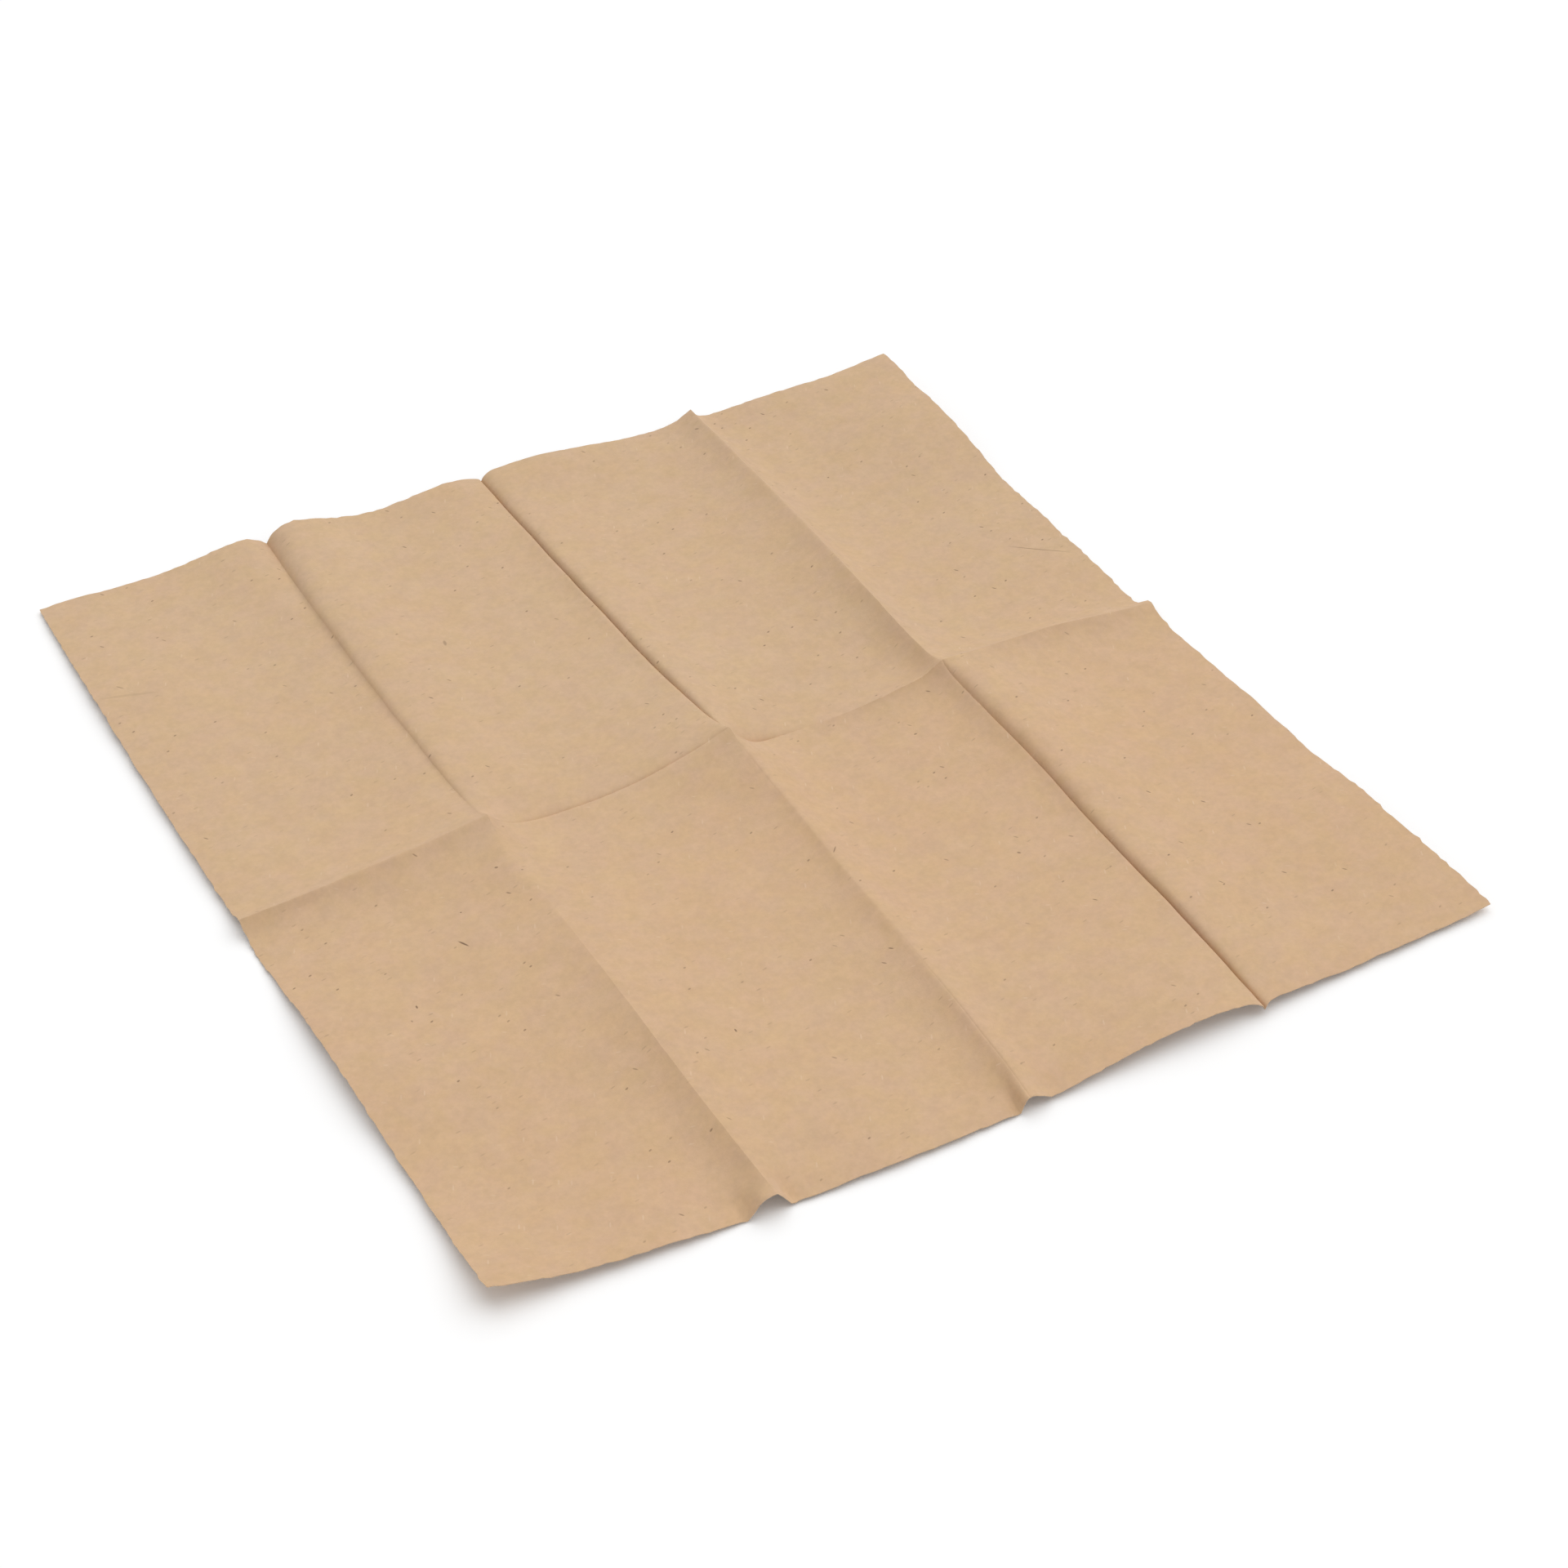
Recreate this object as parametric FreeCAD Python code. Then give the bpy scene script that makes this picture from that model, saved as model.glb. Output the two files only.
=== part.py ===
import FreeCAD, Part
import math
import os
from collections import namedtuple

# A paper napkin of brown kraft tissue, opened out from an eighth fold and lying on a table.
# It was folded in half once across its length and then twice across its width, so the open sheet
# has one cross fold, three long folds and eight panels. A long fold that stands up as a ridge on
# one side of the cross fold lies down as a valley on the other side.
# X runs across the long folds, Y runs along them and Z is up. The origin is on the table, under
# the middle of the box around the sheet. All sizes are in millimetres.

# Cut size of the sheet and its thickness, both plies together
SHEET_WIDTH = 381.0
SHEET_LENGTH = 406.0
THICKNESS = 0.3

# Plan shape: a knife that cuts a folded packet leaves slightly bowed edges, and hand folding
# leaves the cross fold a little off the middle. Its stray towards the back is given at the left
# edge, at each long fold and at the right edge.
FRONT_EDGE_BOW = 7.4
LEFT_EDGE_BOW = 2.2
CROSS_FOLD_SHIFTS = (-8.2, -2.6, -2.5, -4.8, -1.0)

# Cross fold: a low ridge that pops up at each crossing with a long fold
CREST_HEIGHT = 0.5
CREST_REACH = 13.8

# How each panel's surface is divided: number of spans both ways, and how strongly they crowd
# towards the creases
ACROSS_SPAN_COUNT = 4
ALONG_SPAN_COUNT = 3
CROWDING = 0.3
DEGREE = 3

# One side of a long fold. Height above the panel fades over reach, which is given near the crossing
# and at the cut edge. A valley also has a hump beside it: the paper climbs out of the crease over
# rise and comes back to the table over fall. The hump grows towards the free cut edge.
Flank = namedtuple("Flank", "reach_inner reach_outer hump_inner hump_outer rise fall")
HUMP_GROWTH = 3

# One long fold on one side of the cross fold. Heights are taken near the crossing, half way along
# and at the cut edge. Shifts are the crease's sideways strays half way along and at the cut edge.
HalfFold = namedtuple("HalfFold", "heights shifts left right")

# The pop-up at a crossing, its sideways stray, and how far it spreads along the cross fold
Crossing = namedtuple("Crossing", "height shift left_reach right_reach")

# A place where the free paper curls up: on the left (0) or right (1) cut edge, from the front
# corner (-1) over the cross fold (0) to the back corner (1)
Curl = namedtuple("Curl", "side place lift across_reach along_reach")

FRONT_FOLDS = [
    HalfFold(heights=(7.7, 9.5, 5.7), shifts=(-1.0, -1.5),
             left=Flank(reach_inner=30.0, reach_outer=8.0, hump_inner=0.6,
                        hump_outer=0.0, rise=5.0, fall=24.0),
             right=Flank(reach_inner=9.0, reach_outer=16.0, hump_inner=4.2,
                         hump_outer=0.0, rise=5.9, fall=41.0)),
    HalfFold(heights=(10.3, 6.9, 3.9), shifts=(1.2, -2.4),
             left=Flank(reach_inner=16.0, reach_outer=8.0, hump_inner=1.6,
                        hump_outer=0.0, rise=5.4, fall=31.0),
             right=Flank(reach_inner=10.0, reach_outer=20.0, hump_inner=1.5,
                         hump_outer=0.0, rise=5.0, fall=16.0)),
    HalfFold(heights=(8.1, 4.5, 2.7), shifts=(-0.9, -3.2),
             left=Flank(reach_inner=9.0, reach_outer=8.0, hump_inner=2.5,
                        hump_outer=10.9, rise=11.7, fall=44.0),
             right=Flank(reach_inner=27.0, reach_outer=8.0, hump_inner=6.5,
                         hump_outer=3.9, rise=5.0, fall=25.0)),
]

BACK_FOLDS = [
    HalfFold(heights=(1.1, 3.8, 2.7), shifts=(-2.2, -1.6),
             left=Flank(reach_inner=9.0, reach_outer=8.0, hump_inner=0.8,
                        hump_outer=4.6, rise=5.8, fall=39.0),
             right=Flank(reach_inner=9.0, reach_outer=21.0, hump_inner=4.9,
                         hump_outer=9.1, rise=6.2, fall=22.0)),
    HalfFold(heights=(10.4, 1.1, 2.8), shifts=(0.2, -1.8),
             left=Flank(reach_inner=44.0, reach_outer=22.0, hump_inner=0.0,
                        hump_outer=4.6, rise=9.9, fall=26.0),
             right=Flank(reach_inner=9.0, reach_outer=29.0, hump_inner=3.9,
                         hump_outer=5.2, rise=5.0, fall=29.0)),
    HalfFold(heights=(3.9, 10.6, 3.9), shifts=(-0.9, 2.2),
             left=Flank(reach_inner=13.0, reach_outer=24.0, hump_inner=0.1,
                        hump_outer=0.0, rise=5.0, fall=27.0),
             right=Flank(reach_inner=9.0, reach_outer=8.0, hump_inner=0.0,
                         hump_outer=1.7, rise=9.6, fall=44.0)),
]

CROSSINGS = [
    Crossing(height=11.7, shift=-0.7, left_reach=57.0, right_reach=13.0),
    Crossing(height=11.9, shift=2.0, left_reach=28.0, right_reach=13.0),
    Crossing(height=13.3, shift=-0.8, left_reach=15.0, right_reach=60.0),
]

CURLS = [
    Curl(side=0, place=-1.0, lift=9.2, across_reach=20.0, along_reach=25.0),
    Curl(side=0, place=-0.42, lift=6.0, across_reach=46.0, along_reach=35.0),
    Curl(side=1, place=-0.76, lift=5.2, across_reach=35.0, along_reach=44.0),
    Curl(side=1, place=0.87, lift=7.9, across_reach=29.0, along_reach=52.0),
]

# The long folds part the sheet into equal columns, and the cross fold parts each one into two panels
COLUMNS = len(CROSSINGS) + 1
COLUMN_WIDTH = SHEET_WIDTH / COLUMNS
HALF_LENGTH = SHEET_LENGTH / 2


def along_fold(values, t):
    """Smooth value at t, from 0 at the crossing to 1 at the cut edge, through three given ones."""
    inner, middle, outer = values
    return inner * (1 - t) * (1 - 2 * t) + 4 * middle * t * (1 - t) + outer * t * (2 * t - 1)


def bell(distance, reach):
    """Falls from 1 to 0 with a rounded top."""
    return math.exp(-0.5 * (distance / reach) ** 2)


def fold_relief(fold, offset, t):
    """Height that one long fold gives to the paper at a sideways offset from its crease."""
    flank = fold.left if offset < 0 else fold.right
    distance = abs(offset)
    reach = flank.reach_inner + (flank.reach_outer - flank.reach_inner) * t
    crease = along_fold(fold.heights, t) * math.exp(-distance / reach)
    hump = flank.hump_inner + (flank.hump_outer - flank.hump_inner) * t ** HUMP_GROWTH
    climb = 1 - math.exp(-distance / flank.rise)
    return crease + hump * climb * bell(distance, flank.fall)


def curl_relief(across, along):
    """Lift of the free paper where the left and right cut edges curl up."""
    height = 0
    for curl in CURLS:
        to_side = across - curl.side * SHEET_WIDTH
        to_place = along - curl.place * HALF_LENGTH
        height += curl.lift * bell(to_side, curl.across_reach) * bell(to_place, curl.along_reach)
    return height


def row_relief(across, t, front):
    """Height that the long folds give to one row of panels, without the cross fold."""
    folds = FRONT_FOLDS if front else BACK_FOLDS
    height = 0
    for number, fold in enumerate(folds, start=1):
        height += fold_relief(fold, across - number * COLUMN_WIDTH, t)
    return height


def crest_relief(across):
    """Height of the cross fold's own crease."""
    height = CREST_HEIGHT
    for number, crossing in enumerate(CROSSINGS, start=1):
        offset = across - number * COLUMN_WIDTH
        reach = crossing.left_reach if offset < 0 else crossing.right_reach
        height += (crossing.height - CREST_HEIGHT) * math.exp(-abs(offset) / reach)
    return height


def relief(across, along, front):
    """Height of the paper's underside above the table."""
    t = abs(along) / HALF_LENGTH
    blend = math.exp(-abs(along) / CREST_REACH)
    crest = (crest_relief(across) - row_relief(across, 0, front)) * blend
    return row_relief(across, t, front) + crest + curl_relief(across, along)


def crease_shift(number, t, front):
    """Sideways shift of one long fold; the two cut edges have none of their own."""
    if number in (0, COLUMNS):
        return 0.0
    fold = (FRONT_FOLDS if front else BACK_FOLDS)[number - 1]
    return along_fold((CROSSINGS[number - 1].shift, *fold.shifts), t)


def paper_point(across, along, front):
    """Where a point of the flat sheet comes to lie, from its place across and along the sheet."""
    t = abs(along) / HALF_LENGTH
    share = across / SHEET_WIDTH
    column = min(int(across / COLUMN_WIDTH), COLUMNS - 1)
    inside = across / COLUMN_WIDTH - column
    shift = (1 - inside) * crease_shift(column, t, front) + inside * crease_shift(column + 1, t, front)
    cross_shift = (1 - inside) * CROSS_FOLD_SHIFTS[column] + inside * CROSS_FOLD_SHIFTS[column + 1]
    left_bow = LEFT_EDGE_BOW * (1 - t * t) * (1 - share)
    x = across - SHEET_WIDTH / 2 + shift - left_bow
    y = along + cross_shift * (1 - t)
    if front:
        y -= FRONT_EDGE_BOW * (1 - (2 * share - 1) ** 2) * t
    return FreeCAD.Vector(x, y, relief(across, along, front))


def crowded_knots(spans):
    """Places from 0 to 1 where a panel's surface changes span, closer together at both ends."""
    knots = []
    for span in range(spans + 1):
        even = span / spans
        crowded = 0.5 * (1 - math.cos(math.pi * even))
        knots.append((1 - CROWDING) * even + CROWDING * crowded)
    return knots


def point_places(knots):
    """Places of the control points over those knots, so that the surface keeps true distances."""
    padded = [knots[0]] * DEGREE + knots + [knots[-1]] * DEGREE
    return [sum(padded[i + 1:i + 1 + DEGREE]) / DEGREE for i in range(len(knots) + DEGREE - 1)]


def panel(column, front):
    """Upper face of one panel, bounded by creases or cut edges on its four sides."""
    start = -HALF_LENGTH if front else 0.0
    u_knots = crowded_knots(ACROSS_SPAN_COUNT)
    v_knots = crowded_knots(ALONG_SPAN_COUNT)
    rows = []
    for u in point_places(u_knots):
        across = (column + u) * COLUMN_WIDTH
        rows.append([paper_point(across, start + v * HALF_LENGTH, front) for v in point_places(v_knots)])
    u_repeats = [DEGREE + 1] + [1] * (ACROSS_SPAN_COUNT - 1) + [DEGREE + 1]
    v_repeats = [DEGREE + 1] + [1] * (ALONG_SPAN_COUNT - 1) + [DEGREE + 1]
    surface = Part.BSplineSurface()
    surface.buildFromPolesMultsKnots(rows, u_repeats, v_repeats, u_knots, v_knots,
                                     False, False, DEGREE, DEGREE)
    return surface.toShape()


def sheet_solid(panels):
    """Closed sheet: the panels, the same panels one thickness lower, and the cut edges between."""
    down = FreeCAD.Vector(0, 0, -THICKNESS)
    upper = Part.makeShell(panels)
    upper.sewShape()
    lower = upper.translated(down)
    seen = {}
    for face in upper.Faces:
        for edge in face.Edges:
            seen.setdefault(edge.hashCode(), []).append(edge)
    walls = [edges[0].extrude(down) for edges in seen.values() if len(edges) == 1]
    shell = Part.makeShell(upper.Faces + lower.Faces + walls)
    shell.sewShape()
    solid = Part.Solid(shell)
    if solid.Volume < 0:
        solid.reverse()
    return solid


def napkin():
    panels = [panel(column, front) for front in (True, False) for column in range(COLUMNS)]
    solid = sheet_solid(panels)
    box = solid.BoundBox
    solid.translate(FreeCAD.Vector(-box.Center.x, -box.Center.y, -box.ZMin))
    return solid


os.makedirs("parts", exist_ok=True)
shape = napkin()
print("valid", shape.isValid(), "solids", len(shape.Solids), "faces", len(shape.Faces))
print("volume", round(shape.Volume), "box", shape.BoundBox)
shape.exportStep("parts/napkin.step")
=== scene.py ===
import math

import bpy
import numpy as np
from mathutils import Matrix, Vector


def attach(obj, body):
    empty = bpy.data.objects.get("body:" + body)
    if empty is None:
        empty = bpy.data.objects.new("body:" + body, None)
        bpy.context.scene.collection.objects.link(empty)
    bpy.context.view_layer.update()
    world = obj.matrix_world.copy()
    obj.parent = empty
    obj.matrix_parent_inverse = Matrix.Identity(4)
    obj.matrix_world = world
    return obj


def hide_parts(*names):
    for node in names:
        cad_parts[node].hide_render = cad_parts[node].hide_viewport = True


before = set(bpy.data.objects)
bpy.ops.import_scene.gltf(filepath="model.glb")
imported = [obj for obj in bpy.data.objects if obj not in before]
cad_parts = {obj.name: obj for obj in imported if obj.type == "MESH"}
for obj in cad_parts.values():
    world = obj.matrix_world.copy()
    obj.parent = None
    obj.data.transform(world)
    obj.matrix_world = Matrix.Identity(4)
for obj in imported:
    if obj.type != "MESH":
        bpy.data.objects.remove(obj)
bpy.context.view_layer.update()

# A paper napkin of brown kraft tissue, opened out from an eighth fold and lying on a table. The
# sheet repeats the folds of the CAD solid, with sharper creases, ragged cut edges and the small
# unevenness of tissue. Lengths are in millimetres up to the mesh, which is in metres.
WIDTH, LENGTH, THICKNESS = 381.0, 406.0, 0.3
COLUMN, HALF = WIDTH / 4, LENGTH / 2

# The flat sheet's middle, as the CAD places it: under the middle of its box
PLAN_SHIFT = (1.1, 3.7)

# Plan shape: strays of the four cut edges and of the cross fold. Rows of values for the front and back edge
# and the cross fold go from left to right, and those for the left and right edge from front to back.
FRONT_STRAY = (0.2, -4, -6.3, -8.1, -7.3, -5.5, -5.4, -4, -2.1)
BACK_STRAY = (-0.2, 0.1, 0.8, 0.4, 1.1, 0.6, -0.2, -0.4, 0.1)
LEFT_STRAY = (-2.4, -0.7, -1.7, -2, -2.5, -2.8, -2.5, -1.8, -0.3)
RIGHT_STRAY = (1.7, -0.4, 0.1, 0.5, -0.5, -2, -1.5, -0.3, 1.8)
CROSS_STRAY = (-8.7, -6.6, -5.4, -4.1, -2.5, -3.6, -3.3, -0.6, -1.3)

# A long fold on one side of the cross fold, at five places from the crossing to the cut edge:
# crease heights, sideways strays and narrow pinches, and for each side how far the crease's height
# reaches and how high a hump lies beside it. A hump rises and falls over two distances.
FRONT_FOLDS = [
    ((7.1, 7.7, 9.3, 9.4, 11), (-0.8, -0.6, -1.3, -1.7, 0.1), (0.1, 0.5, 0.6, 0.3, -0.3),
     ((28, 27, 21, 13, 6), (1.7, 1, 0.7, 0.6, 1.4), 1.7, 46),
     ((4, 23, 29, 25, 5), (1, 1.4, 1.4, 1.4, 1.9), 2.8, 37)),
    ((10.6, 7.3, 6.8, 7, 6.7), (2.5, 1.9, 1.2, -0.1, -2.8), (0.6, 0.2, -0.1, -0.5, -1),
     ((25, 25, 21, 11, 4), (1.5, -0.7, -1.1, -0.5, 0), 2.7, 24),
     ((10, 11, 16, 17, 5), (4.3, 2.4, 0.8, 0.2, 1), 2.2, 10)),
    ((8.1, 5.8, 3.5, 2.9, 0.9), (-1.7, -0.8, -1.6, -3, -5), (0.3, 0.7, 0.9, 0.5, -0.1),
     ((16, 19, 19, 19, 21), (-0.9, 1.1, 2.1, 4, 5.7), 6.8, 45),
     ((26, 23, 17, 14, 15), (6.1, 6.5, 6.3, 5.5, 1.8), 3.2, 27)),
]
BACK_FOLDS = [
    ((4, 3.9, 3.9, 3.9, 0.3), (-1, -1, -1.7, -2.2, -0.9), (-0.1, 0.1, 0.2, 0.4, 0.3),
     ((19, 17, 14, 13, 17), (2.4, 1.1, 0.5, 1.4, 7.1), 6.5, 21),
     ((24, 19, 17, 14, 8), (4.6, 4.3, 5.7, 7.3, 10.2), 5.8, 23)),
    ((9.7, 4.2, 1.6, 1.1, 0), (2.3, 2.1, 1.5, -0.1, -1.9), (0, 0.2, 0.4, 0.5, 0.3),
     ((32, 27, 23, 19, 17), (3.3, 1.4, 0.2, 1.1, 6), 7.1, 26),
     ((8, 15, 15, 14, 13), (3.9, 4.1, 3.6, 3.9, 3.9), 2.6, 22)),
    ((7.3, 10.3, 10.7, 9.7, 7.6), (-1.9, -0.6, 0.4, 0.5, 0), (-0.2, 0, -0.1, -0.3, -0.4),
     ((4, 13, 19, 18, 8), (0, 0.1, 0.2, -0.5, 0.2), 1.5, 29),
     ((15, 11, 11, 7, 3), (-0.2, -1.4, -1.5, -1.2, 2.1), 8.1, 36)),
]

# Where the cross fold meets each long fold: height, and reach to the left and right
CROSSINGS = [(11.6, 55.2, 8), (13, 28.7, 5.3), (7.4, 13, 55.8)]

# The cross fold from left to right: its own height and pinch, and its reach to the front and back
CREST = (4.4, 2.5, 0.8, 0, 0.3, 2, 4.4, 5.4, 5.5)
CREST_PINCH = (1.1, 0.6, 0.1, -0.5, -0.3, -0.2, 0.2, 0.3, -0.1)
CREST_FRONT_REACH = (8, 9, 5, 6, 16)
CREST_BACK_REACH = (22, 11, 6, 8, 12)

# Curl of the four cut edges: heights along the edge, and reach into the sheet
FRONT_CURL = ((8.6, 3.2, 1.5, -2.4, 0.9, 1.4, 0.3, 2.2, 2.7, 1.7, 2, 3.7, 6), 41)
BACK_CURL = ((-0.1, 0.2, 0.1, 0.3, -0.8, 0.4, 0.8, 4.2, 2, 0.2, 2.3, 3.9, 7.4), 13)
LEFT_CURL = ((1.2, -1.7, 1.4, 5.1, 5, 1.8, -1.5, 1.5, 2.4, 2.6, 3.5, 2.5, 1.4), 34)
RIGHT_CURL = ((-3, 0.9, 3.8, 1.8, 1.3, -0.3, -2.6, 1.2, 2.6, 2.2, 6.9, 7.7, 0.4), 31)

# How far a crease's narrow pinch reaches to either side
PINCH_REACH = 1.5

# Sharp folds also close to a groove: the paper dips between two lips that fade into the panels. Each row
# holds the depths at five places from the crossing to the cut edge (for the cross fold nine from left to
# right), how far the dip reaches, how far the lips reach on the left and right (for the cross fold front
# and back), and how high the first lip is beside the other: where that is negative, the fold is a step.
FRONT_GROOVES = [((0, 0, 0, 0, 0), 0.55, 4, 4, 1), ((0.2, 0.2, 0.3, 0.5, 0.5), 0.7, 4, 4, 1),
                 ((0.7, 1.5, 1.9, 2.9, 1.7), 0.55, 4, 4, 1)]
BACK_GROOVES = [((0.9, 1.8, 2.0, 2.1, 1.2), 1.1, 3, 3, -0.6), ((0.5, 1.7, 2.2, 2.1, 1.2), 0.55, 4, 4, 1),
                ((0.5, 0.3, 0.4, 0.6, 0.4), 0.8, 3, 3, 1)]
CROSS_GROOVE = ((0.9, 0.9, 0.5, 0.6, 0.7, 0, 0.2, 0.2, 0.3), 0.9, 5, 3, 1)

# Small hollow beside the third crossing: place on the flat sheet, depth and reach
DIMPLE = (277.0, -1.5, 1.0, 4.0)

# Just behind the right end of the cross fold the cut edge steps in: its place, the strays in front of and
# behind it, and their reach
STEP_PLACE, STEP_FRONT, STEP_BACK, STEP_REACH = 3.0, 1.3, -2.8, 12.0

# The third long fold ends in a small tip at the front edge
TIP_LENGTH, TIP_WIDTH, TIP_REACH = 1.7, 2.5, 5.0

# Where a ridge runs out over the front edge the paper stands up as a small tent: number of the long
# fold, height, and for each side the distance to the foot, how full the side is and the foot's height
FRONT_TENTS = [(1, 7.9, (9.2, 2.8, 0.4), (5.6, 1.1, 0.6)), (2, 6.2, (3.6, 2.4, 0.5), (9.0, 1.8, 2.4))]
TENT_REACH, TENT_SIDE_REACH = 6.0, 3.0

# The front left corner is blunt
BLUNT_CORNER, BLUNT_REACH = 0.9, 3.5

# Small swell of the tissue: seed, number of waves, the longest and shortest, and height
SWELLS = ((3, 40, 70.0, 14.0, 0.22), (4, 40, 12.0, 6.0, 0.03))

# Ragged cut edges: wave lengths, how far they reach into the sheet, and for each edge the seed and height.
# The back edge is more ragged at its left end.
RAGGED_WAVES, RAGGED_REACH = (23.0, 11.0, 7.3, 5.1), 3.0
RAGGED_LEFT, RAGGED_RIGHT, RAGGED_FRONT = (11, 0.3), (12, 0.42), (13, 0.25)
RAGGED_BACK_SEED, RAGGED_BACK_LEFT, RAGGED_BACK_FALL = 14, 0.5, 0.3

# How softly the relief is rounded where it meets the table
TABLE_ROUNDING = 0.2

# Mesh lines: the step between columns and between rows in the panels, the steps at the folds and at the
# cut edges, and how far the closer lines reach
COLUMN_STEP, ROW_STEP, FOLD_STEP, EDGE_STEP, CLOSE_REACH = 2.25, 2.4, 0.5, 0.9, 6.0

# The flat map: its margin and the share of the map that each face of the sheet takes
MAP_MARGIN, MAP_WIDTH, MAP_HEIGHT = 0.01, 0.48, 0.98


def bell(distance, reach):
    """Bell curve of height 1."""
    return np.exp(-0.5 * (distance / reach) ** 2)


def through(values, t):
    """Smooth curve through evenly spaced values, at t from 0 to 1."""
    padded = np.array([2 * values[0] - values[1], *values, 2 * values[-1] - values[-2]], float)
    at = np.clip(t, 0, 1) * (len(values) - 1)
    left = np.minimum(at.astype(int), len(values) - 2)
    u = at - left
    a, b, c, d = (padded[left + k] for k in range(4))
    return b + 0.5 * u * (c - a + u * (2 * a - 5 * b + 4 * c - d + u * (3 * (b - c) + d - a)))


def flank_relief(height, flank, distance, t):
    """Height of the paper on one side of a long fold, at this distance from its crease."""
    reach, hump, rise, fall = flank
    crease = height * np.exp(-distance / through(reach, t))
    return crease + through(hump, t) * (1 - np.exp(-distance / rise)) * bell(distance, fall)


def fold_relief(fold, offset, t):
    """Height that one long fold gives to the sheet."""
    heights, _, pinches, left, right = fold
    height, distance = through(heights, t), np.abs(offset)
    on_left, on_right = (flank_relief(height, flank, distance, t) for flank in (left, right))
    pinch = through(pinches, t) * np.exp(-distance / PINCH_REACH)
    return np.where(offset < 0, on_left, on_right) + pinch


def groove(shape, t, offset):
    """Narrow dip at a crease, between two lips."""
    depths, reach, first_lip, other_lip, first_share = shape
    distance = np.abs(offset)
    lip = np.exp(-distance / np.where(offset < 0, first_lip, other_lip))
    return through(depths, t) * np.where(offset < 0, first_share, 1) * (lip - np.exp(-distance / reach))


def grooves_relief(across, along):
    """Grooves of all folds, and the small hollow beside the third crossing."""
    t, front = np.abs(along) / HALF, along < 0
    total = groove(CROSS_GROOVE, across / WIDTH, along)
    for number, (ahead, behind) in enumerate(zip(FRONT_GROOVES, BACK_GROOVES), start=1):
        offset = across - number * COLUMN
        total = total + np.where(front, groove(ahead, t, offset), groove(behind, t, offset))
    place, level, depth, reach = DIMPLE
    return total - depth * bell(np.hypot(across - place, along - level), reach)


def folds_relief(across, t, front):
    """Height that the long folds give to the sheet, with no cross fold."""
    total = np.zeros_like(across)
    for number, fold in enumerate(FRONT_FOLDS if front else BACK_FOLDS, start=1):
        total += fold_relief(fold, across - number * COLUMN, t)
    return total


def crest_relief(across):
    """Height of the cross fold's crease."""
    height = through(CREST, across / WIDTH)
    for number, (top, left, right) in enumerate(CROSSINGS, start=1):
        offset = across - number * COLUMN
        height = height + top * np.exp(-np.abs(offset) / np.where(offset < 0, left, right))
    return height


def curl_relief(across, along):
    """Height that the curling cut edges add."""
    share, level = across / WIDTH, (along + HALF) / LENGTH
    edges = ((FRONT_CURL, share, along + HALF), (BACK_CURL, share, HALF - along),
             (LEFT_CURL, level, across), (RIGHT_CURL, level, WIDTH - across))
    return sum(through(heights, place) * bell(distance, reach) for (heights, reach), place, distance in edges)


def relief(across, along):
    """Height of the sheet's underside above the table, before its small unevenness."""
    t, front, share = np.abs(along) / HALF, along < 0, across / WIDTH
    row = np.where(front, folds_relief(across, t, True), folds_relief(across, t, False))
    start = np.where(front, folds_relief(across, 0 * t, True), folds_relief(across, 0 * t, False))
    reach = np.where(front, through(CREST_FRONT_REACH, share), through(CREST_BACK_REACH, share))
    crest = (crest_relief(across) - start) * np.exp(-np.abs(along) / reach)
    pinch = through(CREST_PINCH, share) * np.exp(-np.abs(along) / PINCH_REACH)
    return row + crest + pinch + curl_relief(across, along)


def with_tents(z, across, along):
    """The same heights, with the tents put in at the front edge."""
    for number, height, left, right in FRONT_TENTS:
        offset = across - number * COLUMN
        foot, fullness, base = (np.where(offset < 0, a, b) for a, b in zip(left, right))
        tent = base + (height - base) * np.clip(1 - (np.abs(offset) / foot) ** fullness, 0, 1)
        beyond = np.clip(np.abs(offset) - foot, 0, None)
        share = bell(along + HALF, TENT_REACH) * bell(beyond, TENT_SIDE_REACH)
        z = z + share * (tent - z)
    return z


def waves(x, y, seed, count, longest, shortest, height):
    """Soft random swell: many plane waves, the long ones higher."""
    rng = np.random.default_rng(seed)
    total = np.zeros_like(x)
    for length in np.geomspace(longest, shortest, count):
        turn, phase = rng.uniform(0, 2 * math.pi, 2)
        forward = x * math.cos(turn) + y * math.sin(turn)
        total += length / longest * np.sin(2 * math.pi * forward / length + phase)
    return height * total / math.sqrt(count / 4)


def plan(across, along):
    """Where each point of the flat sheet lies, seen from above."""
    t, front = np.abs(along) / HALF, along < 0
    share, level = across / WIDTH, (along + HALF) / LENGTH
    x = across - WIDTH / 2 + through(LEFT_STRAY, level) * (1 - share) + through(RIGHT_STRAY, level) * share
    for number, (ahead, behind) in enumerate(zip(FRONT_FOLDS, BACK_FOLDS), start=1):
        near = np.clip(1 - np.abs(across / COLUMN - number), 0, 1)
        x += near * np.where(front, through(ahead[1], t), through(behind[1], t))
    beyond = along - STEP_PLACE
    step = np.where(beyond < 0, STEP_FRONT, STEP_BACK) * np.exp(-np.abs(beyond) / STEP_REACH)
    x += step * bell(WIDTH - across, STEP_REACH)

    y = along + through(CROSS_STRAY, share) * (1 - t)
    y += t * np.where(front, through(FRONT_STRAY, share), through(BACK_STRAY, share))
    y -= TIP_LENGTH * bell(across - 3 * COLUMN, TIP_WIDTH) * np.exp(-(along + HALF) / TIP_REACH)
    return x, y


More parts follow.
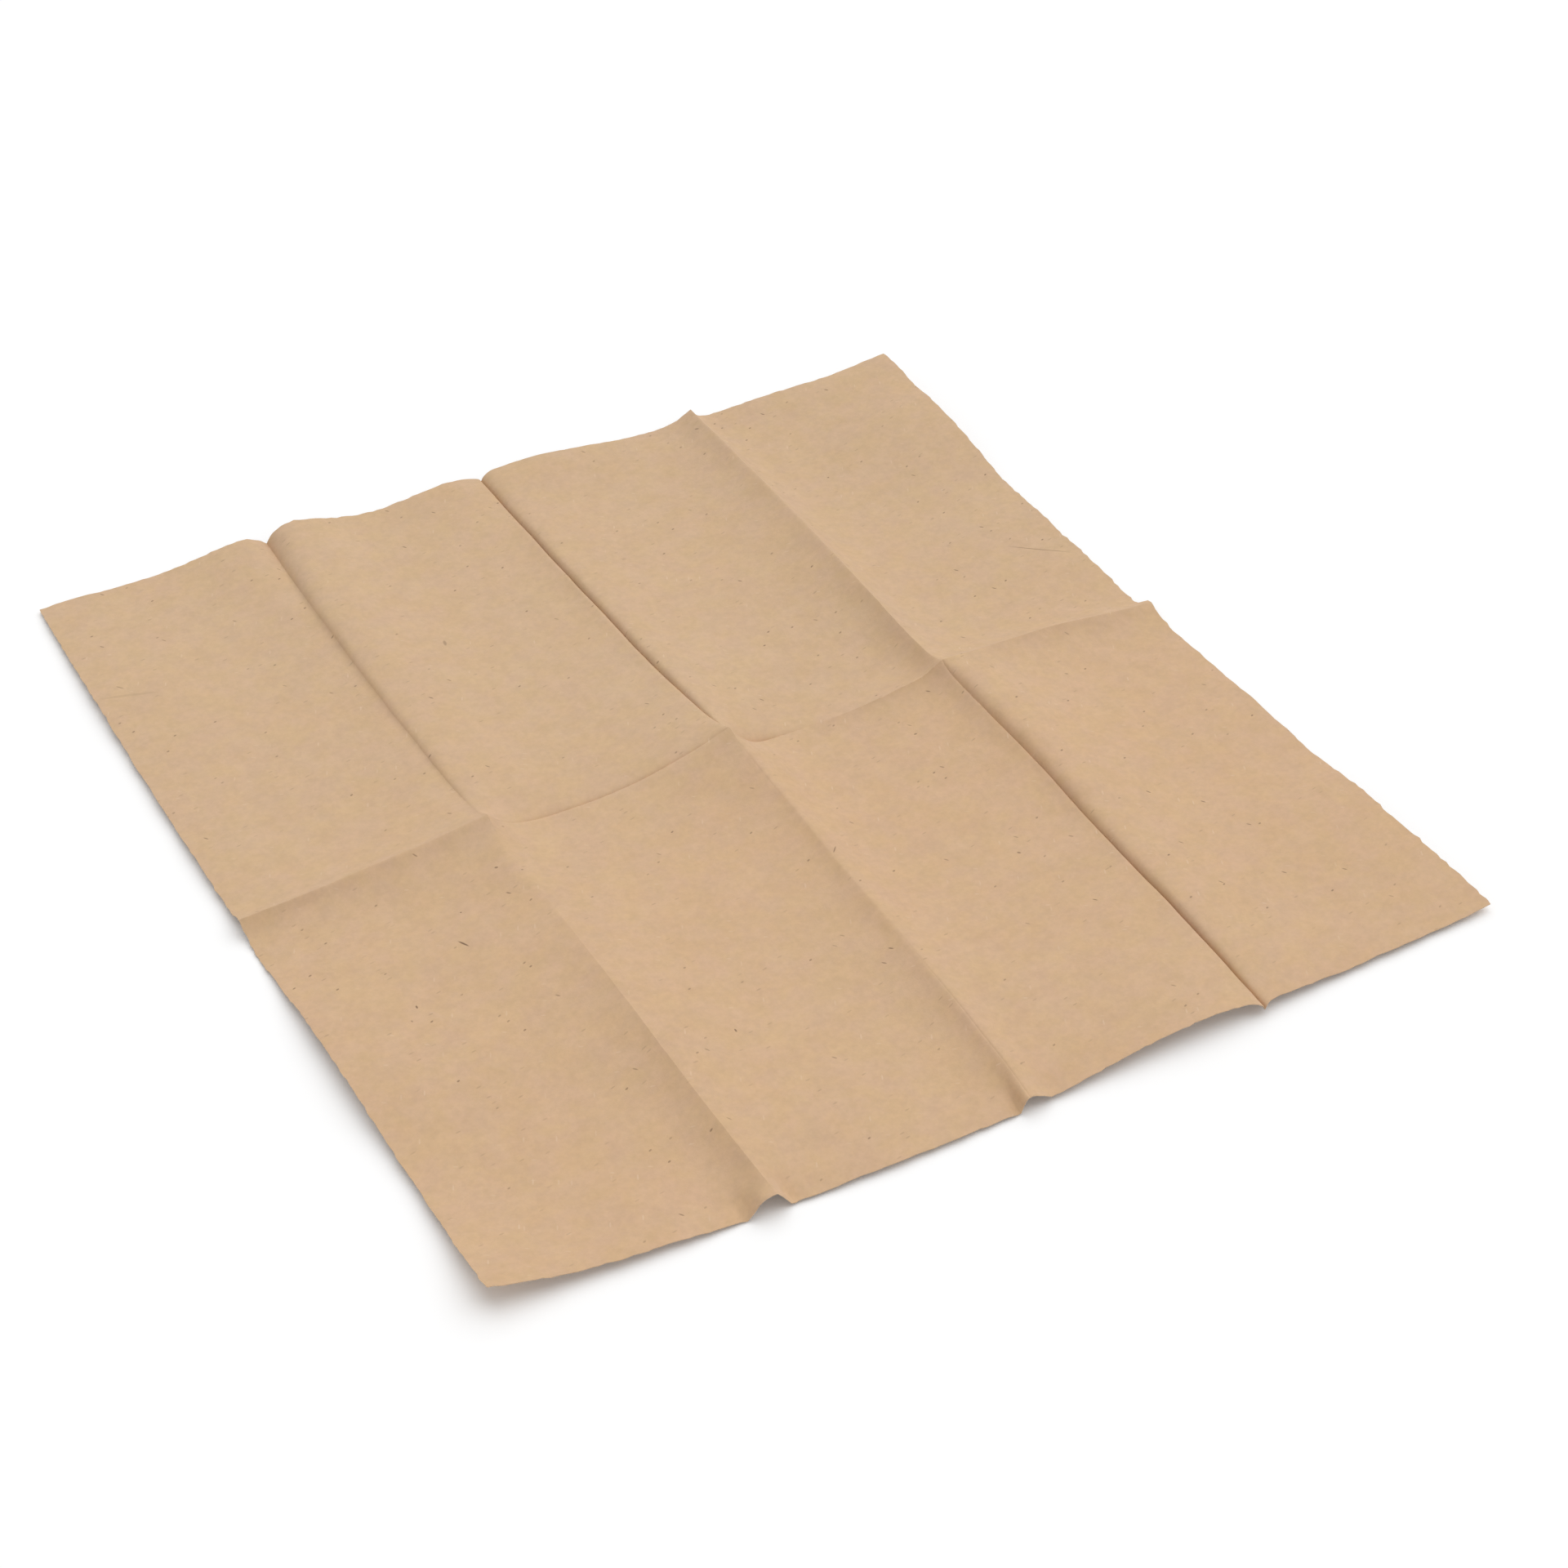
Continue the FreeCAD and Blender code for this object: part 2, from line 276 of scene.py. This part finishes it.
def ragged(along_edge, seed, height):
    """How far a torn or blunt-cut edge strays in and out along its length."""
    rng = np.random.default_rng(seed)
    total = np.zeros_like(along_edge)
    for length in RAGGED_WAVES:
        swell = 0.6 + 0.4 * np.sin(along_edge / rng.uniform(18, 40) + rng.uniform(0, 6))
        total += swell * np.sin(2 * math.pi * along_edge / length + rng.uniform(0, 6))
    return height * total / 2


def grid_lines(total, folds, coarse):
    """Places of the mesh lines along one side: close together at the folds and the two cut edges."""
    places = [0.0]
    while places[-1] < total:
        at = places[-1]
        to_fold, to_edge = min(abs(at - fold) for fold in folds), min(at, total - at)
        step = coarse - (coarse - FOLD_STEP) * math.exp(-(to_fold / CLOSE_REACH) ** 2)
        step = FOLD_STEP / 2 if to_fold < 1.2 * FOLD_STEP else step
        step = min(step, coarse - (coarse - EDGE_STEP) * math.exp(-(to_edge / CLOSE_REACH) ** 2))
        places.append(at + step)

    # The last line lies on the cut edge, with no sliver before it, and one line lies on each fold
    last = -1 if total - places[-2] > 0.4 * FOLD_STEP else -2
    places = np.array(places[:last] + [total])
    for fold in folds:
        places[np.argmin(np.abs(places - fold))] = fold
    return places


def sheet_points(across, along):
    """Where each point of the flat sheet's underside ends up."""
    x, y = plan(across, along)
    z = with_tents(relief(across, along), across, along) + grooves_relief(across, along)
    z += sum(waves(x, y, *swell) for swell in SWELLS)

    # Cut edges stray in and out, less and less over a few millimetres
    x += np.exp(-across / RAGGED_REACH) * ragged(along, *RAGGED_LEFT)
    x += np.exp(-(WIDTH - across) / RAGGED_REACH) * ragged(along, *RAGGED_RIGHT)
    y += np.exp(-(along + HALF) / RAGGED_REACH) * ragged(across, *RAGGED_FRONT)
    height = RAGGED_BACK_LEFT - RAGGED_BACK_FALL * across / WIDTH
    y += np.exp(-(HALF - along) / RAGGED_REACH) * ragged(across, RAGGED_BACK_SEED, height)
    blunt = BLUNT_CORNER * np.exp(-(across + along + HALF) / BLUNT_REACH)
    x, y = x + blunt, y + blunt

    # The sheet can't sink into the table: where it would, it lies on it
    z = 0.5 * (z + np.hypot(z, TABLE_ROUNDING))
    return x, y, z - z.min()


def sheet_mesh():
    """The sheet as one closed mesh: two faces and the cut edge between them."""
    columns = grid_lines(WIDTH, [COLUMN, 2 * COLUMN, 3 * COLUMN], COLUMN_STEP)
    rows = grid_lines(LENGTH, [HALF], ROW_STEP) - HALF
    across, along = np.meshgrid(columns, rows, indexing="ij")
    x, y, z = sheet_points(across, along)
    n, m = x.shape
    under = np.stack([x + PLAN_SHIFT[0], y + PLAN_SHIFT[1], z], -1).reshape(-1, 3)
    upper = under + (0, 0, THICKNESS)
    points = np.concatenate([upper, under]) / 1000

    index = np.arange(n * m).reshape(n, m)
    quads = np.stack([index[:-1, :-1], index[1:, :-1], index[1:, 1:], index[:-1, 1:]], -1).reshape(-1, 4)
    rim = np.concatenate([index[:, 0], index[-1, 1:], index[-2::-1, -1], index[0, -2:0:-1]])
    after = np.roll(rim, -1)
    walls = np.stack([rim, rim + n * m, after + n * m, after], -1)
    faces = np.concatenate([quads, quads[:, ::-1] + n * m, walls])

    mesh = bpy.data.meshes.new("napkin_sheet")
    mesh.from_pydata(points.tolist(), [], faces.tolist())
    mesh.shade_smooth()
    material = np.zeros(len(faces), np.int32)
    material[2 * len(quads):] = 1
    mesh.polygons.foreach_set("material_index", material)

    # The creases are sharp, and so are the corners where the two faces of the sheet meet the cut edge
    ends = np.zeros(2 * len(mesh.edges), np.int32)
    mesh.edges.foreach_get("vertices", ends)
    ends = ends.reshape(-1, 2)
    on_rim = np.zeros(2 * n * m, bool)
    on_rim[rim] = on_rim[rim + n * m] = True
    same_side = (ends[:, 0] < n * m) == (ends[:, 1] < n * m)
    at_column = np.abs(across.ravel()[ends % (n * m)] / COLUMN % 1) < 1e-6
    at_row = np.abs(along.ravel()[ends % (n * m)]) < 1e-6
    creased = on_rim[ends].all(1) | at_column.all(1) | at_row.all(1)
    sharp = mesh.attributes.new("sharp_edge", "BOOLEAN", "EDGE")
    sharp.data.foreach_set("value", same_side & creased)

    # Flat map: the upper face on one half, the underside on the other
    u = MAP_MARGIN + MAP_WIDTH * across.ravel() / WIDTH
    v = MAP_MARGIN + MAP_HEIGHT * (along.ravel() + HALF) / LENGTH
    flat = np.concatenate([np.stack([u, v], 1), np.stack([u + 0.5, v], 1)])
    loops = np.zeros(len(mesh.loops), np.int32)
    mesh.loops.foreach_get("vertex_index", loops)
    mesh.uv_layers.new(name="OFBake").data.foreach_set("uv", flat[loops].astype(np.float32).ravel())
    mesh.validate()
    return mesh


class Nodes:
    """Short way to write a material's nodes."""

    def __init__(self, name):
        self.material = bpy.data.materials.new(name)
        self.material.use_nodes = True
        self.tree = self.material.node_tree
        self.shader = self.tree.nodes["Principled BSDF"]
        self.output = self.tree.nodes["Material Output"]

    def add(self, kind, inputs=(), **settings):
        """New node, with sockets or constants for its inputs, and its settings."""
        node = self.tree.nodes.new(kind)
        for name, value in settings.items():
            setattr(node, name, value)
        for name, value in dict(inputs).items():
            self.set(node.inputs[name], value)
        return node

    def set(self, socket, value):
        if isinstance(value, bpy.types.NodeSocket):
            self.tree.links.new(value, socket)
        else:
            socket.default_value = value

    def math(self, operation, a, b=0.0, c=0.0):
        node = self.tree.nodes.new("ShaderNodeMath")
        node.operation = operation
        for socket, value in zip(node.inputs, (a, b, c)):
            self.set(socket, value)
        return node.outputs[0]

    def noise(self, vector, scale, detail=2.0, roughness=0.5, distortion=0.0):
        node = self.add("ShaderNodeTexNoise", {"Vector": vector, "Scale": scale, "Detail": detail,
                                               "Roughness": roughness, "Distortion": distortion})
        return node.outputs["Fac"]

    def between(self, value, low, high, to_low=0.0, to_high=1.0):
        """Smooth step from to_low to to_high, as value goes from low to high."""
        return self.add("ShaderNodeMapRange", {"Value": value, "From Min": low, "From Max": high,
                                               "To Min": to_low, "To Max": to_high},
                        interpolation_type="SMOOTHSTEP").outputs[0]

    def mix(self, factor, a, b, blend="MIX"):
        node = self.add("ShaderNodeMix", data_type="RGBA", blend_type=blend)
        for number, value in ((0, factor), (6, a), (7, b)):
            self.set(node.inputs[number], value)
        return node.outputs[2]


# Unbleached kraft as linear colours: the pulp, its pinker and yellower parts, dark shives (also used for the
# painted shade of two hair creases), pale fibres
KRAFT = (0.628, 0.424, 0.262, 1)
KRAFT_PINK = (0.634, 0.420, 0.252, 1)
KRAFT_YELLOW = (0.620, 0.428, 0.264, 1)
KRAFT_DARK = (0.20, 0.12, 0.07, 1)
KRAFT_PALE = (0.74, 0.55, 0.38, 1)

# Scales of the kraft's noises, in repeats per metre, and the limits between which a noise is spread
CLOUD, MOTTLE, CRUMB, GRAIN, HUE, STRANDS, TUFTS = 9, 120, 380, 1000, 95, 1300, 1400
LOW, HIGH = 0.3, 0.7

# Scattered fibres: cells per metre, a cell's width as a share of its length, its turn, share of the cells
# that hold a fibre, the fibre's half width as a share of a cell, and its strength
DARK_FIBRES = ((230, 0.55, -0.4, 0.045, 0.10, 0.60), (190, 0.28, 0.9, 0.050, 0.065, 0.65),
               (430, 0.28, -0.2, 0.060, 0.15, 0.24))
PALE_FIBRES = ((210, 0.25, 2.0, 0.14, 0.08, 0.40), (270, 0.30, 0.5, 0.12, 0.09, 0.35))

# Single dark shives, and the painted shade of two hair creases drawn as thin dark lines: x, y, turn, half
# length and half width in mm, strength
SHIVES_AND_CREASE_SHADE = (
    (-61.5, 110.6, -105, 2.2, 0.8, 0.45),
    (-129.5, -50.8, -64, 2.9, 0.45, 0.95),
    (-103.9, -23.3, -29, 0.8, 0.55, 0.7),
    (-96.9, -29.6, -29, 0.5, 0.4, 0.6),
    (-123.4, -35.7, -29, 0.4, 0.35, 0.9),
    (-156.3, -71.4, -96, 1.0, 0.45, 0.85),
    (-160.6, -77.1, -81, 0.6, 0.4, 0.5),
    (4.7, -70.9, -131, 2.6, 0.3, 0.7),
    (68.0, -23.0, -7, 0.8, 0.4, 0.75),
    (63.9, -99.2, -46, 0.9, 0.5, 0.75),
    (-69.7, -133.0, -92, 1.0, 0.45, 0.8),
    (137.0, -20.4, -28, 0.9, 0.5, 0.45),
    # A hair crease: its shade painted as a thin dark line
    (175.6, 56.1, -39, 14.8, 0.3, 0.55),
    (-180.6, 141.4, -53, 2.1, 0.35, 0.5),
    # A hair crease: its shade painted as a thin dark line
    (-179.5, 135.4, -16, 13.2, 0.9, 0.14),
)


def kraft(name):
    """Soft kraft tissue: cloudy pulp, short fibres lying every way, a few dark shives, and the painted shade
    of two hair creases.
    """
    n = Nodes(name)
    place = n.add("ShaderNodeTexCoord").outputs["Object"]
    cloud = n.noise(place, CLOUD, 2, 0.5)
    mottle = n.noise(place, MOTTLE, 4, 0.75)
    crumb = n.noise(place, CRUMB, 2, 0.6)
    grain = n.noise(place, GRAIN, 2, 0.6)
    hue = n.add("ShaderNodeTexNoise", {"Vector": place, "Scale": HUE, "Detail": 3, "Roughness": 0.6})
    hue = n.add("ShaderNodeSeparateColor", {"Color": hue.outputs["Color"]})
    front = n.between(n.add("ShaderNodeSeparateXYZ", {"Vector": place}).outputs["Y"], 0.06, -0.06)

    # Fibres: noise drawn out along a direction that turns from layer to layer
    fibres = None
    for number, turn in enumerate((0.35, 1.4, 2.45)):
        turned = n.add("ShaderNodeMapping", {"Vector": place, "Rotation": (0, 0, turn),
                                             "Location": (number, 0, 0)})
        drawn = n.add("ShaderNodeMapping", {"Vector": turned.outputs[0], "Scale": (0.22, 1.0, 0.6)})
        strand = n.noise(drawn.outputs[0], STRANDS, 2, 0.5, 0.6)
        fibres = strand if fibres is None else n.math("MAXIMUM", fibres, strand)

    # The front half is a little pinker, and the whole sheet is cloudy and mottled
    warmth = n.math("MULTIPLY_ADD", front, 0.7, n.math("MULTIPLY", n.between(cloud, 0.35, 0.65), 0.3))
    colour = n.mix(warmth, KRAFT_YELLOW, KRAFT_PINK)
    colour = n.mix(n.math("MULTIPLY", n.between(fibres, 0.52, 0.78), 0.06), colour, KRAFT_PALE)
    shade = n.between(mottle, LOW, HIGH, 0.954, 1.022)
    shade = n.math("ADD", shade, n.between(grain, LOW, HIGH, -0.006, 0.006))
    shade = n.math("ADD", shade, n.between(crumb, 0.25, 0.75, -0.028, 0.036))
    green = n.math("MULTIPLY", shade, n.between(hue.outputs[1], LOW, HIGH, 0.991, 1.009))
    blue = n.math("MULTIPLY", shade, n.between(hue.outputs[2], LOW, HIGH, 0.955, 1.045))
    grey = n.add("ShaderNodeCombineColor", {"Red": shade, "Green": green, "Blue": blue}).outputs[0]
    colour = n.mix(1.0, colour, grey, "MULTIPLY")

    # Scattered fibres: each kind marks the middle of some cells, and each mark has a strength of its own
    for fibre_colour, kinds in ((KRAFT_PALE, PALE_FIBRES), (KRAFT_DARK, DARK_FIBRES)):
        for scale, stretch, turn, share, size, depth in kinds:
            turned = n.add("ShaderNodeMapping", {"Vector": place, "Rotation": (0, 0, turn)})
            drawn = n.add("ShaderNodeMapping", {"Vector": turned.outputs[0], "Scale": (stretch, 1.0, 1.0)})
            cell = n.add("ShaderNodeTexVoronoi", {"Vector": drawn.outputs[0], "Scale": scale},
                         voronoi_dimensions="2D")
            number = n.add("ShaderNodeSeparateColor", {"Color": cell.outputs["Color"]})
            chosen = n.math("LESS_THAN", number.outputs[0], share)
            varied = n.math("MULTIPLY_ADD", number.outputs[1], 0.7 * depth, 0.5 * depth)
            mark = n.between(cell.outputs["Distance"], size * 0.5, size, 1.0, 0.0)
            strength = n.math("MULTIPLY", mark, n.math("MULTIPLY", chosen, varied))
            colour = n.mix(strength, colour, fibre_colour)

    # Dark shives, and two hair creases whose shade is painted as thin dark lines
    for x, y, turn, length, width, strength in SHIVES_AND_CREASE_SHADE:
        near = n.add("ShaderNodeMapping", {"Vector": place, "Location": (x / 1000, y / 1000, 0),
                                           "Rotation": (0, 0, math.radians(turn)),
                                           "Scale": (length / 1000, width / 1000, 1)}, vector_type="TEXTURE")
        away = n.add("ShaderNodeVectorMath", {0: near.outputs[0]}, operation="LENGTH").outputs["Value"]
        colour = n.mix(n.between(away, 0.5, 1.0, strength, 0.0), colour, KRAFT_DARK)

    n.set(n.shader.inputs["Base Color"], colour)
    n.set(n.shader.inputs["Roughness"], n.between(mottle, LOW, HIGH, 0.86, 0.96))
    n.shader.inputs["Specular IOR Level"].default_value = 0.25
    n.shader.inputs["Sheen Weight"].default_value = 0.08
    n.shader.inputs["Sheen Roughness"].default_value = 0.6
    height = n.math("ADD", n.math("MULTIPLY", grain, 0.4), n.math("MULTIPLY", fibres, 0.4))
    height = n.math("ADD", height, mottle)
    bump = n.add("ShaderNodeBump", {"Height": height, "Strength": 0.25, "Distance": 0.0003})
    n.set(n.shader.inputs["Normal"], bump.outputs[0])
    return n.material


def cut_edge(name):
    """The cut edge, where the fibres stand out loose and pale."""
    n = Nodes(name)
    place = n.add("ShaderNodeTexCoord").outputs["Object"]
    tuft = n.noise(place, TUFTS, 3, 0.6)
    n.set(n.shader.inputs["Base Color"], n.mix(n.between(tuft, LOW, HIGH), KRAFT, KRAFT_PALE))
    n.shader.inputs["Roughness"].default_value = 0.95
    n.shader.inputs["Specular IOR Level"].default_value = 0.2
    bump = n.add("ShaderNodeBump", {"Height": tuft, "Strength": 0.4, "Distance": 0.0002})
    n.set(n.shader.inputs["Normal"], bump.outputs[0])
    return n.material


def white_floor(name):
    """White floor that keeps shadows. What the camera sees of it is lifted a little, to plain white."""
    n = Nodes(name)
    n.shader.inputs["Base Color"].default_value = FLOOR_WHITE
    n.shader.inputs["Roughness"].default_value = 1.0
    n.shader.inputs["Specular IOR Level"].default_value = 0.0
    seen = n.add("ShaderNodeLightPath").outputs["Is Camera Ray"]
    glow = n.add("ShaderNodeEmission", {"Strength": n.math("MULTIPLY", seen, FLOOR_GLOW)})
    both = n.add("ShaderNodeAddShader")
    n.tree.links.new(n.shader.outputs[0], both.inputs[0])
    n.tree.links.new(glow.outputs[0], both.inputs[1])
    n.tree.links.new(both.outputs[0], n.output.inputs["Surface"])
    return n.material


def direction(azimuth, elevation):
    """Unit vector at this azimuth, measured from +X towards +Y, and this elevation."""
    level = math.cos(elevation)
    return Vector((math.cos(azimuth) * level, math.sin(azimuth) * level, math.sin(elevation)))


# Floor: side in metres, colour, and the glow that only the camera sees
FLOOR_SIDE, FLOOR_WHITE, FLOOR_GLOW = 12, (0.95, 0.95, 0.95, 1), 0.075

# Very broad, even light from high up at the back right; its azimuth is measured from +X towards +Y
KEY_AZIMUTH, KEY_ELEVATION = math.radians(30), math.radians(66)
KEY_STRENGTH, KEY_BREADTH = 1.7, math.radians(85)

# The world: its light on the scene, and how bright it is to look at
WORLD_LIGHT, WORLD_SEEN = 0.5, 1.0

# Camera: where the photograph was taken from. Its azimuth is measured from -Y towards +X.
AZIMUTH, ELEVATION, ROLL = math.radians(-30.72), math.radians(38.92), math.radians(1.43)
DISTANCE, FOCAL_PIXELS, PICTURE_PIXELS, SENSOR_WIDTH = 1.124, 3778.7, 1920, 36
TARGET = Vector((0.0107 + PLAN_SHIFT[0] / 1000, -0.0267 + PLAN_SHIFT[1] / 1000, 0))

sheet = bpy.data.objects.new("napkin_sheet", sheet_mesh())
bpy.context.scene.collection.objects.link(sheet)
sheet.data.materials.append(kraft("kraft_tissue"))
sheet.data.materials.append(cut_edge("kraft_cut_edge"))
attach(sheet, "root")
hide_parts("napkin")

bpy.ops.mesh.primitive_plane_add(size=FLOOR_SIDE)
floor = bpy.context.object
floor.name = "floor"
floor.data.materials.append(white_floor("floor_white"))

key_light = bpy.data.lights.new("key", "SUN")
key_light.energy, key_light.angle = KEY_STRENGTH, KEY_BREADTH
key = bpy.data.objects.new("key", key_light)
key.rotation_mode = "QUATERNION"
key.rotation_quaternion = direction(KEY_AZIMUTH, KEY_ELEVATION).to_track_quat("Z", "Y")
bpy.context.scene.collection.objects.link(key)

world = bpy.data.worlds.new("studio")
bpy.context.scene.world = world
world.use_nodes = True
tree = world.node_tree
background = tree.nodes["Background"]
background.inputs["Color"].default_value = (1, 1, 1, 1)
path = tree.nodes.new("ShaderNodeLightPath")
seen = tree.nodes.new("ShaderNodeMath")
seen.operation = "MAXIMUM"
strength = tree.nodes.new("ShaderNodeMix")
strength.inputs[2].default_value = WORLD_LIGHT
strength.inputs[3].default_value = WORLD_SEEN
tree.links.new(path.outputs["Is Camera Ray"], seen.inputs[0])
tree.links.new(path.outputs["Is Glossy Ray"], seen.inputs[1])
tree.links.new(seen.outputs[0], strength.inputs[0])
tree.links.new(strength.outputs[0], background.inputs["Strength"])

back = direction(AZIMUTH - math.pi / 2, ELEVATION)
right = Vector((0, 0, 1)).cross(back).normalized()
up = back.cross(right)
tilted_right = right * math.cos(ROLL) + up * math.sin(ROLL)
tilted_up = up * math.cos(ROLL) - right * math.sin(ROLL)
turned = Matrix((tilted_right, tilted_up, back)).transposed()
camera = bpy.data.objects.new("camera", bpy.data.cameras.new("camera"))
bpy.context.scene.collection.objects.link(camera)
camera.matrix_world = Matrix.Translation(TARGET + back * DISTANCE) @ turned.to_4x4()
camera.data.sensor_width = SENSOR_WIDTH
camera.data.lens = FOCAL_PIXELS / PICTURE_PIXELS * SENSOR_WIDTH
bpy.context.scene.camera = camera
bpy.context.scene.view_settings.view_transform = "Standard"
